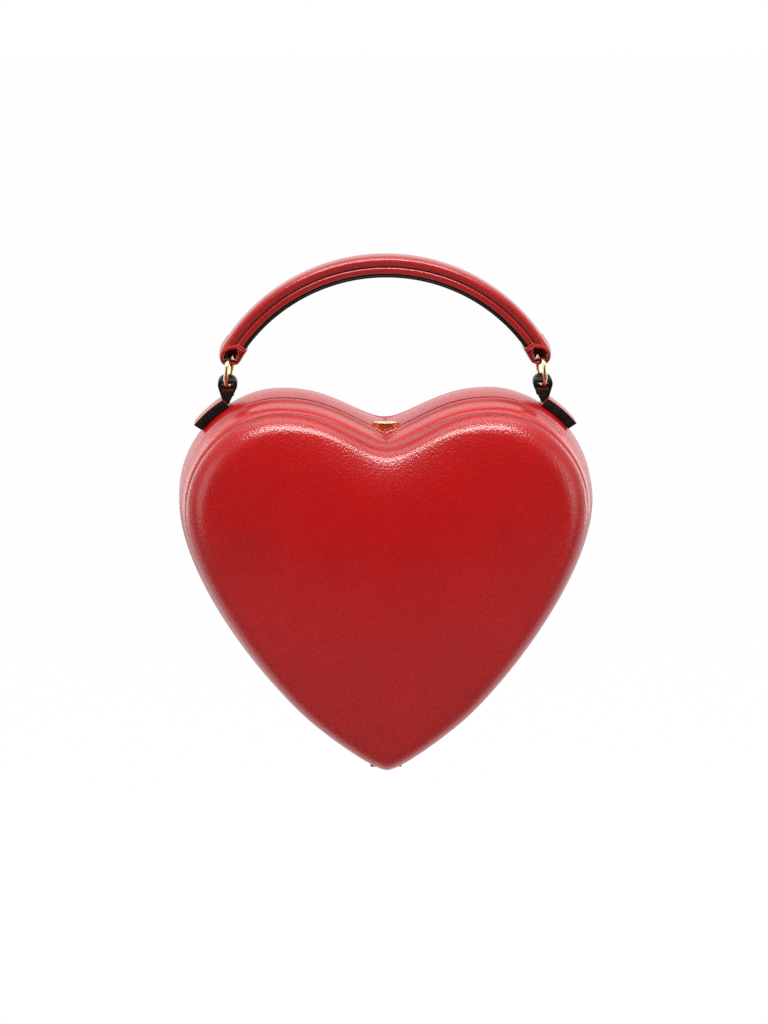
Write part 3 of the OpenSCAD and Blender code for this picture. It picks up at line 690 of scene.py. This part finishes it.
def dress_half(half):
    """The panel, side band, foam and suede of a half, the back one cut for the button."""
    panel = make_piece(f"{half.name}_cushion", panel_skin(half), PEBBLED, SEAM_SHADE_CALF, sharp_deg=80)
    rim = make_piece(f"{half.name}_side_band", rim_skin(half), SMOOTH, SEAM_SHADE_CALF, sharp_deg=30)
    paint_seam_shade(panel)
    paint_seam_shade(rim)
    foam = make_piece(f"{half.name}_foam", layer_skin(half, LAY_PAD, PADDING), FOAM, sharp_deg=60)
    suede = make_piece(f"{half.name}_suede", layer_skin(half, LAY_LINING, LINING), SUEDE,
                       sharp_deg=60)
    if half is BACK:
        for piece in (rim, foam, suede):
            cut_out(piece, button_cutter())
    for piece, slot, node in ((panel, "red_leather", "panel"), (rim, "red_leather", "rim"),
                              (foam, "foam", "padding"), (suede, "suede", "lining")):
        finish_piece(piece, f"{half.name}_half", slot, f"{half.name}_{node}")


dress_half(FRONT)
dress_half(BACK)


# ---- The slip pocket with its sewn hem

STITCH_MM = {"Pitch": 2.6, "Stitch length": 1.7, "Thread": 0.42}


def stitch_row(name, path, material):
    """A row of sewn stitches along a path, made by a Geometry Nodes tree with named sizes."""
    mesh = bpy.data.meshes.new(name)
    mesh.from_pydata(place(path).tolist(), [(i, i + 1) for i in range(len(path) - 1)], [])
    row = put_in_scene(name, mesh)
    tree = bpy.data.node_groups.new(f"{name}_tree", "GeometryNodeTree")
    tree.interface.new_socket("Geometry", in_out="INPUT", socket_type="NodeSocketGeometry")
    sizes = {label: tree.interface.new_socket(label, in_out="INPUT", socket_type="NodeSocketFloat")
             for label in STITCH_MM}
    tree.interface.new_socket("Geometry", in_out="OUTPUT", socket_type="NodeSocketGeometry")
    given = add_node(tree, "NodeGroupInput").outputs
    curve = add_node(tree, "GeometryNodeMeshToCurve", {"Mesh": given["Geometry"]})
    points = add_node(tree, "GeometryNodeCurveToPoints", {"Curve": curve, "Length": given["Pitch"]},
                      mode="LENGTH")
    bead = add_node(tree, "GeometryNodeMeshUVSphere", {"Segments": 8, "Rings": 6, "Radius": 0.5})
    size = add_node(tree, "ShaderNodeCombineXYZ", {
        "X": given["Thread"], "Y": given["Thread"], "Z": given["Stitch length"]})
    laid = add_node(tree, "GeometryNodeInstanceOnPoints", {
        "Points": points, "Instance": bead, "Rotation": points.outputs["Rotation"], "Scale": size})
    real = add_node(tree, "GeometryNodeRealizeInstances", {"Geometry": laid})
    dyed = add_node(tree, "GeometryNodeSetMaterial", {"Geometry": real, "Material": material})
    add_node(tree, "NodeGroupOutput", {"Geometry": dyed})
    modifier = row.modifiers.new("stitches", "NODES")
    modifier.node_group = tree
    for label, size_mm in STITCH_MM.items():
        modifier[sizes[label].identifier] = size_mm * MM
    settle(row)
    row.data.shade_smooth()
    return row


def dress_pocket():
    """A sheet of suede across the back half's lining, its hem pressed and sewn at both sides.

    It spans the lower half of the outline, 44 points to each side of the tip.
    """
    columns, shares = np.arange(TIP - 44, TIP + 45), np.linspace(0.12, 0.97, 22)
    top, under = ([crown_ring(BACK, LAY_ALL + over, share)[columns] for share in shares]
                  for over in (1.0, 0.2))
    from_side = np.minimum(columns - columns[0], columns[-1] - columns)
    for row in top:
        row[:, 1] -= 0.4 * hump(from_side, 3, 2.6)

    across, down = len(columns), len(shares)
    first = across * down
    border = (list(range(across)) + [k * across + across - 1 for k in range(1, down)]
              + [(down - 1) * across + i for i in range(across - 2, -1, -1)]
              + [k * across for k in range(down - 2, 0, -1)])
    faces = wall_faces(down, across, 0, False)
    faces += [face[::-1] for face in wall_faces(down, across, first, False)]
    faces += [(a, b, first + b, first + a) for a, b in zip(border, border[1:] + border[:1])]
    pocket = make_piece("pocket", (np.vstack(top + under), faces), SUEDE, sharp_deg=50)
    finish_piece(pocket, "back_half", "suede", "slip_pocket")
    for label, column in (("left", across - 7), ("right", 6)):
        path = [row[column] - [0, 0.05, 0] for row in top]
        stitches = stitch_row(f"pocket_stitches_{label}", path, THREAD)
        finish_piece(stitches, "back_half", "suede")


dress_pocket()


# ---- The handle

def arch_sweep(section):
    """Sweeps a section of (radius, depth) points round the arch."""
    return skin([np.array([(r * math.sin(turn), RING_DEPTH + d, ARCH_Z + r * math.cos(turn))
                           for r, d in section])
                 for turn in np.linspace(-ARCH_HALF, ARCH_HALF, ARCH_STATIONS)])


def rounded_box(low, high, wide, power):
    """A squared section between two radii."""
    turn = full_turn(56)
    radius = (low + high) / 2 + (high - low) / 2 * squared(np.sin(turn), power)
    return np.column_stack([radius, wide / 2 * squared(np.cos(turn), power)])


def roll_section(low, high, wide, belly):
    """The padded roll: a squared round on top, drawn in to the band below its belly."""
    drawn = math.radians(38)
    over = np.linspace(0, math.pi, 41)
    under = np.linspace(math.pi, math.pi + drawn, 8)[1:]
    middle = low + belly
    top = np.column_stack([middle + (high - middle) * squared(np.sin(over), 3.8),
                           wide / 2 * squared(np.cos(over), 3.8)])
    left = np.column_stack([middle + belly * np.sin(under) / math.sin(drawn),
                            wide / 2 * np.cos(under)])
    return np.vstack([top, left, left[::-1] * [1, -1]])


def beaded_band():
    """The band: a bead along each upper edge, over a pressed fold."""
    radius, depth = rounded_box(BASE_R + 0.05, BAND_R, wide=15, power=7).T
    bead = 0.8 * hump(np.abs(depth), 6.9, 0.75) * (radius > BAND_R - 1.2)
    fold = 0.45 * hump(radius, BAND_R - 1.3, 0.7) * (np.abs(depth) > 6.5)
    # Painted shade along the band's foot, where it meets the base
    dark = 0.8 * hump(radius, BASE_R + 0.2, 0.8)
    return np.column_stack([radius + bead, depth - np.sign(depth) * fold]), dark


def dress_handle():
    """The leather roll over its foam, the beaded band below it and the painted base."""
    section = roll_section(ROLL_R, ARCH_TOP - 0.35, wide=13, belly=1.5)
    # Painted shade on the roll's underside, darkest where it turns in to the band
    dark = np.clip(1 - (section[:, 0] - ROLL_R) / 4.2, 0, 1)**1.2
    roll = make_piece("handle_roll", (*arch_sweep(section), np.tile(dark, ARCH_STATIONS)),
                      HANDLE_CALF)
    core = roll_section(ROLL_R + 0.3, ARCH_TOP - 1.5, wide=10.2, belly=1.2)
    foam = make_piece("handle_foam", arch_sweep(core), FOAM)
    section, dark = beaded_band()
    band = make_piece("handle_strap", (*arch_sweep(section), np.tile(dark, ARCH_STATIONS)),
                      HANDLE_CALF)
    strip = rounded_box(ARCH_R, BASE_R, wide=15.2, power=5)
    base = make_piece("handle_painted_base", arch_sweep(strip), EDGE)
    finish_piece(roll, "handle", "red_leather", "handle_cover")
    finish_piece(foam, "handle", "foam", "handle_padding")
    finish_piece(band, "handle", "red_leather", "handle_band")
    finish_piece(base, "handle", "painted_edge", "handle_base")


dress_handle()


# ---- The wraps at the handle's ends, and their rings

# Below, x is from the top of the ring and z from its middle.
# Stations of a wrap, from the roll down its outer leg, through the ring and up its inner leg:
# outer x and z, inner x and z, share of the belly, width and squareness
WRAP_STATIONS = [
    (1.25, 16.0, -3.1, 13.1, 0.30, 13.0, 2.0),
    (1.83, 15.04, -2.48, 12.12, 0.30, 13.0, 2.0),
    (3.45, 12.7, -0.7, 10.9, 0.34, 12.7, 2.0),
    (4.45, 10.3, 1.5, 9.9, 0.42, 11.8, 2.2),
    (4.85, 7.8, 2.7, 8.1, 0.5, 10.2, 2.4),
    (4.5, 5.4, 2.75, 6.0, 0.5, 8.2, 2.4),
    (3.55, 3.6, 2.25, 5.05, 0.5, 7.0, 2.2),
    (2.0, 2.8, 1.3, 5.1, 0.5, 6.6, 2.0),
    (0.0, 2.7, 0.0, 5.3, 0.5, 6.5, 2.0),
    (-2.0, 2.8, -1.3, 5.1, 0.5, 6.6, 2.0),
    (-3.6, 3.5, -2.3, 5.05, 0.5, 7.2, 2.2),
    (-4.8, 5.0, -2.75, 6.3, 0.5, 8.8, 2.6),
    (-5.9, 6.9, -2.85, 8.0, 0.5, 11.0, 3.0),
    (-6.8, 8.5, -3.0, 10.2, 0.5, 14.2, 4.0),
    (-7.2, 9.4, -2.9, 12.0, 0.5, 15.8, 6.0),
    (-7.9, 10.4, -3.6, 13.2, 0.5, 15.9, 6.0)]
# The backing between the legs, and the ends of the pressed folds: x and z
WRAP_BACKING = [(-3.3, 8.6), (3.0, 8.6), (2.4, 10.2), (0.6, 11.6), (-1.4, 12.6), (-3.6, 12.0),
                (-4.2, 10.4)]
WRAP_FOLDS = [[(-2.8, 12.3), (-6.2, 9.9)], [(-3.5, 13.3), (-6.9, 10.9)]]
# The turned lip, from the roll to the ring: x, z and distance from the middle of the width
WRAP_LIP = [(-4.2, 12.9, 7.5), (-2.4, 12.1, 7.3), (-0.6, 11.75, 6.9), (1.1, 11.1, 6.4),
            (2.4, 9.9, 5.8), (3.2, 8.2, 5.1), (3.6, 6.9, 4.5), (3.8, 5.8, 3.9)]


def hang(flat):
    """Points (x, z) of the right wrap, moved to their place."""
    return np.array(flat, float) + [HANG_X, RING_Z]


def wire_channel(x, half_wide, way, start, end, far):
    """Leather along the wire of a ring, above it (way 1) or below it (-1), between two depths."""
    depth = np.linspace(start, end, 15)
    arc = np.sqrt((RING_R + WIRE_R + 0.15)**2 - depth**2)
    profile = [(d, way * a) for d, a in zip(depth, arc)] + [
        (end, way * (far - 1.5)), (end - 1.5, way * far), (start, way * far)]
    return skin([np.array([(x + u, RING_DEPTH + d, RING_Z + v) for d, v in profile])
                 for u in (-half_wide, half_wide)])


def wrap_body():
    """The padded leather of the right wrap, a loft of squared rounds."""
    cosine, sine = np.cos(full_turn(28)), np.sin(full_turn(28))
    rings = []
    for outer_x, outer_z, inner_x, inner_z, belly, wide, power in spread(WRAP_STATIONS, 76):
        outer, inner = hang((outer_x, outer_z)), hang((inner_x, inner_z))
        core = inner + (outer - inner) * belly
        reach = np.where(sine[:, None] > 0, outer - core, core - inner)
        flat = core + reach * squared(sine, power)[:, None]
        depth = wide / 2 * squared(cosine, power)
        rings.append(np.column_stack([flat[:, 0], RING_DEPTH + depth, flat[:, 1]]))
    return skin(rings)


def wrap_trim(way):
    """The turned lip at one side of the right wrap, thinner towards the ring, and its folds."""
    lip = spread(WRAP_LIP, 30)
    path = np.column_stack([lip[:, 0] + HANG_X, RING_DEPTH + way * (lip[:, 2] - 0.35),
                            lip[:, 1] + RING_Z])
    folds = [tube([(x, RING_DEPTH + way * 7.7, z) for x, z in hang(fold)], [0.4, 0.4])
             for fold in WRAP_FOLDS]
    return [tube(path, np.linspace(1.05, 0.5, len(path)))] + folds


def dress_wrap(side):
    """The wrap of one end round its ring, with painted shade inside."""
    body = wrap_body()
    inside = join_parts(prism(hang(WRAP_BACKING), 4.4, RING_DEPTH + 1.4),
                        wire_channel(HANG_X, half_wide=3.1, way=1, start=1.0, end=7.1, far=9.5))
    points, faces = join_parts(body, inside, *wrap_trim(-1), *wrap_trim(1))
    crease = np.zeros(len(points))
    # Painted shade over the backing and the channel inside the wrap
    crease[len(body[0]):len(body[0]) + len(inside[0])] = 0.6
    wrap = make_piece(f"wrap_{side}", (on_side(side, points), faces, crease),
                      HANDLE_CALF, SEAM_SHADE_CALF)
    paint_seam_shade(wrap)
    finish_piece(wrap, "handle", "red_leather", f"handle_end_{side}")


def dress_ring(side):
    """A wire ring bent round and soldered, then plated."""
    round_ring, round_wire = np.meshgrid(full_turn(96), full_turn(20), indexing="ij")
    far = RING_R + WIRE_R * np.cos(round_wire)
    rings = np.stack([WIRE_R * np.sin(round_wire), far * np.cos(round_ring),
                      far * np.sin(round_ring)], -1)
    turn, lean = math.radians(9), math.radians(5)
    about_z = np.array([[math.cos(turn), -math.sin(turn), 0],
                        [math.sin(turn), math.cos(turn), 0], [0, 0, 1]])
    about_y = np.array([[math.cos(lean), 0, -math.sin(lean)], [0, 1, 0],
                        [math.sin(lean), 0, math.cos(lean)]])
    points, faces = skin(rings @ about_z.T @ about_y.T + [RING_X, RING_DEPTH, RING_Z], joined=True)
    ring = make_piece(f"wire_ring_{side}", (on_side(side, points), faces), BRASS)
    finish_piece(ring, f"ring_{side}", "brass", f"ring_{side}")


for side in ("left", "right"):
    dress_wrap(side)
    dress_ring(side)


# ---- Fine copies of CAD nodes, with their edges broken

def fine_copy(name, node, bevel_mm, *materials):
    """A copy of a CAD node, its loose triangles merged and its edges rounded."""
    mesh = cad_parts[node].data.copy()
    mesh.name = name
    mesh.materials.clear()
    for material in materials:
        mesh.materials.append(material)
    shape = bmesh.new()
    shape.from_mesh(mesh)
    bmesh.ops.remove_doubles(shape, verts=shape.verts, dist=1e-6)
    bmesh.ops.dissolve_limit(shape, angle_limit=math.radians(1), verts=shape.verts,
                             edges=shape.edges)
    shape.to_mesh(mesh)
    shape.free()
    piece = put_in_scene(name, mesh)
    edge = piece.modifiers.new("edges", "BEVEL")
    edge.width, edge.segments, edge.limit_method = bevel_mm * MM, 2, "ANGLE"
    edge.angle_limit = math.radians(40)
    settle(piece)
    shade(piece.data, 40)
    return piece


def dress_tab(side):
    """Folded leather: black at front, back, end, loop and underside; red on the strip's upper
    faces.
    """
    tab = fine_copy(f"folded_tab_{side}", f"tab_{side}", 0.35, EDGE, SMOOTH)
    for face in tab.data.polygons:
        in_the_cut = abs(face.normal.y) > 0.3
        upper_face = face.normal.z > 0.1 and face.center.z < (RING_Z - 12) * MM
        face.material_index = int(upper_face and not in_the_cut)
    points, faces = wire_channel(RING_X + RING_SHIFT, half_wide=2.8, way=-1, start=-3.3, end=4.6,
                                 far=10.5)
    # Painted shade over the whole inside of the loop
    inside = make_piece(f"tab_inside_{side}",
                        (on_side(side, points), faces, np.full(len(points), 0.8)), DEEP)
    finish_piece(tab, "back_half", "painted_edge", f"tab_{side}")
    finish_piece(inside, "back_half", "red_leather")


for side in ("left", "right"):
    dress_tab(side)


def dress_button():
    """The push button, its sides drawn in below the top, so that they mirror the leather."""
    button = fine_copy("push_button", "clasp_button", 0.25, BRASS)
    per_mm, deepest_mm, middle = 0.1, 4, (BUTTON_DEPTH - RING_DEPTH) * MM
    top = max(v.co.z for v in button.data.vertices)
    for v in button.data.vertices:
        if v.co.z > CAP_LOW * MM:
            v.co.y += (middle - v.co.y) * per_mm * min((top - v.co.z) / MM, deepest_mm)
    finish_piece(button, "clasp", "brass", "clasp_button")


def dress_spring():
    """A coil of music wire round the stem, with flat end turns, pressed by the button."""
    turns, coil_r, wire_r, low, high = 3.0, 2.0, 0.125, SEAT_Z, -73.1
    round_wire = full_turn(8)
    far = coil_r + wire_r * np.cos(round_wire)
    rings = []
    for turn in np.linspace(0, turns, 97):
        share = np.clip((turn - 0.5) / (turns - 1), 0, 1)
        middle = low + wire_r + share * (high - low - 2 * wire_r)
        at = 2 * math.pi * turn
        rings.append(np.column_stack([far * math.cos(at), BUTTON_DEPTH + far * math.sin(at),
                                      middle + wire_r * np.sin(round_wire)]))
    coil = make_piece("coil_spring", skin(rings), STEEL, sharp_deg=60)
    finish_piece(coil, "back_half", "steel", "clasp_spring")
    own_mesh(coil)


def dress_leaf():
    """The spring leaf, cut across at depths from the foot of its housing to the stem of the button.
    """
    leaf = fine_copy("spring_leaf", "clasp_catch", 0.08, STEEL)
    foot, stem = LEAF_FOOT_DEPTH - RING_DEPTH, BUTTON_DEPTH - RING_DEPTH
    shape = bmesh.new()
    shape.from_mesh(leaf.data)
    for depth in np.linspace(foot, stem, 9):
        bmesh.ops.bisect_plane(shape, geom=shape.verts[:] + shape.edges[:] + shape.faces[:],
                               plane_co=(0, depth * MM, 0), plane_no=(0, 1, 0))
    shape.to_mesh(leaf.data)
    shape.free()
    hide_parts("clasp_catch")
    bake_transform(leaf)


dress_button()
dress_spring()
dress_leaf()


# ---- The folded gussets

FOLDS, PLEAT, GUSSET_LAY, GUSSET_HALF = 8, 15, 9.9, 0.7


def dress_gusset(side):
    """A fan of leather folds between the halves, deepest at its top, narrow at the hinge."""
    columns = np.arange(TIP - 52, TIP - 11)
    share = (columns - columns[0]) / (columns[-1] - columns[0] + 4)
    outer = HEART[columns] + INWARD[columns] * GUSSET_LAY
    inner = HEART[columns] + INWARD[columns] * (GUSSET_LAY + PLEAT * (1 - share))[:, None]
    rows = []
    for fold in range(FOLDS + 1):
        flat = inner if fold % 2 else outer
        depth = np.full(len(flat), GUSSET_HALF - 2 * GUSSET_HALF * fold / FOLDS)
        rows.append(np.column_stack([flat[:, 0], depth, flat[:, 1]]))
    faces = wall_faces(len(rows), len(columns), 0, False)
    fan = make_piece(f"folded_gusset_{side}", (on_side(side, np.vstack(rows)), faces), DEEP,
                     closed=False)
    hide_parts(f"gusset_{side}")
    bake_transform(fan)


for side in ("left", "right"):
    dress_gusset(side)


# ---- CAD nodes that keep their shape

NODE_MATERIALS = {
    "handle_core": STEEL, "back_former": BOARD, "front_former": BOARD,
    "back_frame": BRASS, "front_frame": BRASS, "hinge_back_leaf": ENAMEL,
    "hinge_front_leaf": ENAMEL, "hinge_pin": ENAMEL, "hinge_back_rivets": BRASS,
    "hinge_front_rivets": BRASS, "clasp_housing": STEEL, "clasp_rivets": BRASS,
    "strike_plate": BRASS, "strike_rivets": BRASS}
for node, material in NODE_MATERIALS.items():
    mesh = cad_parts[node].data
    mesh.materials.clear()
    mesh.materials.append(material)


# ---- Camera, floor and light, in metres

def aim(thing, start, target):
    thing.location = start
    thing.rotation_euler = (Vector(target) - Vector(start)).to_track_quat("-Z", "Y").to_euler()


def set_camera():
    """A long lens, a little to the left of the purse and looking down on it."""
    turn, rise, away = math.radians(-1.3), math.radians(13), 1.5
    target = Vector((-0.0009, -0.015, -0.1037))
    back = Vector((math.sin(turn) * math.cos(rise), -math.cos(turn) * math.cos(rise),
                   math.sin(rise)))
    data = bpy.data.cameras.new("camera")
    data.lens, data.sensor_width = 118.8, 36
    camera = put_in_scene("camera", data)
    aim(camera, target + back * away, target)
    bpy.context.scene.camera = camera


def who_looks(tree):
    """Whether the camera looks, also through something clear, and whether a reflection does."""
    rays = add_node(tree, "ShaderNodeLightPath").outputs
    camera = add_node(tree, "ShaderNodeMath", {
        0: rays["Is Camera Ray"], 1: rays["Is Transmission Ray"]}, operation="MAXIMUM")
    return camera, rays["Is Glossy Ray"]


def studio_floor():
    """Pale floor paint, with painted shade in front of the purse, where less light would reach it.

    The camera sees it white, but for a small share that takes the shadow. Reflections see it
    white behind the purse and a painted dark reflection in front.
    """
    material, tree, shader, where = new_material("pale_floor")
    depth = add_node(tree, "ShaderNodeSeparateXYZ", {"Vector": where}).outputs["Y"]
    behind = add_node(tree, "ShaderNodeMapRange", {
        "Value": depth, "From Min": -1.6, "From Max": 0.0}, interpolation_type="SMOOTHSTEP")
    # Painted shade: the floor's colour darkens towards the camera
    painted_floor_shade = add_node(tree, "ShaderNodeValToRGB", {"Fac": behind},
                   ((0.0, "#808080"), (0.6, "#F0F0F0")))
    camera, glossy = who_looks(tree)
    # A painted dark reflection: reflections of the floor in front of the purse see #505050
    in_front = add_node(tree, "ShaderNodeMath", {0: depth, 1: 0.0}, operation="LESS_THAN")
    painted_dark_reflection = add_node(tree, "ShaderNodeMath", {0: in_front, 1: glossy}, operation="MULTIPLY")
    set_inputs(tree, shader, {
        "Base Color": add_node(tree, "ShaderNodeMix", {"Factor": painted_dark_reflection, 6: painted_floor_shade, 7: "#505050"},
                               data_type="RGBA").outputs[2],
        "Roughness": 0.9})
    glow = add_node(tree, "ShaderNodeEmission", {"Color": "#FFFFFF", "Strength": 1.0})
    mirrored = add_node(tree, "ShaderNodeMath", {0: glossy, 1: painted_dark_reflection}, operation="SUBTRACT")
    white = add_node(tree, "ShaderNodeMath", {0: camera, 1: mirrored}, operation="MAXIMUM")
    share = add_node(tree, "ShaderNodeMath", {0: white, 1: 0.985}, operation="MULTIPLY")
    mixed = add_node(tree, "ShaderNodeMixShader", {"Fac": share, 1: shader, 2: glow})
    set_inputs(tree, tree.get_output_node("ALL"), {"Surface": mixed})
    return material


def set_floor():
    """A floor well below the hanging purse."""
    size, z = 6.0, -0.46
    mesh = bpy.data.meshes.new("floor")
    mesh.from_pydata([(-size, -size, z), (size, -size, z), (size, size, z), (-size, size, z)], [],
                     [(0, 1, 2, 3)])
    mesh.materials.append(studio_floor())
    put_in_scene("floor", mesh)


def set_world():
    """Even light all round, which the camera sees white.

    Reflections see white walls behind the purse and a dark room in front of it.
    """
    world = bpy.data.worlds.new("studio")
    bpy.context.scene.world = world
    world.use_nodes = True
    tree = world.node_tree
    tree.nodes.clear()
    way = add_node(tree, "ShaderNodeTexCoord").outputs["Generated"]
    forward = add_node(tree, "ShaderNodeSeparateXYZ", {"Vector": way}).outputs["Y"]
    behind = add_node(tree, "ShaderNodeMapRange", {
        "Value": forward, "From Min": -1.0, "From Max": 1.0})
    mirrored = add_node(tree, "ShaderNodeValToRGB", {"Fac": behind},
                        ((0.02, "#000000"), (0.27, "#B0B0B0"), (0.8, "#FFFFFF")))
    camera, glossy = who_looks(tree)
    walls = add_node(tree, "ShaderNodeMix", {"Factor": glossy, 6: "#A8A8A8", 7: mirrored},
                     data_type="RGBA").outputs[2]
    light = add_node(tree, "ShaderNodeMath", {0: walls, 1: 1.1}, operation="MULTIPLY")
    level = add_node(tree, "ShaderNodeMix", {"Factor": camera, "A": light, "B": 1.0},
                     data_type="FLOAT")
    shine = add_node(tree, "ShaderNodeBackground", {"Color": "#FFFFFF", "Strength": level})
    add_node(tree, "ShaderNodeOutputWorld", {"Surface": shine})


LAMPS = (  # name, place, width and height, watts
    ("key_softbox", (0, -0.57, 0.85), (1.1, 0.26), 17),
    ("top_softbox", (0, 0.08, 0.95), (1.4, 0.35), 4.5),
    ("left_strip", (-1.15, -0.65, -0.1), (0.35, 1.2), 3.2),
    ("left_rim_strip", (-1.0, 0.85, -0.1), (0.45, 1.2), 4.5),
    ("right_strip", (1.15, -0.65, -0.1), (0.35, 1.2), 3.2),
    ("right_rim_strip", (1.0, 0.85, -0.1), (0.45, 1.2), 4.5))


def set_lamps():
    """Softboxes above and in front, and tall strips at both sides, all aimed at the heart."""
    for name, start, size, watts in LAMPS:
        data = bpy.data.lights.new(name, "AREA")
        data.shape, data.size, data.size_y, data.energy = "RECTANGLE", size[0], size[1], watts
        aim(put_in_scene(name, data), start, (0, 0, -0.12))


set_camera()
set_floor()
set_world()
set_lamps()
bpy.context.scene.view_settings.view_transform = "Standard"
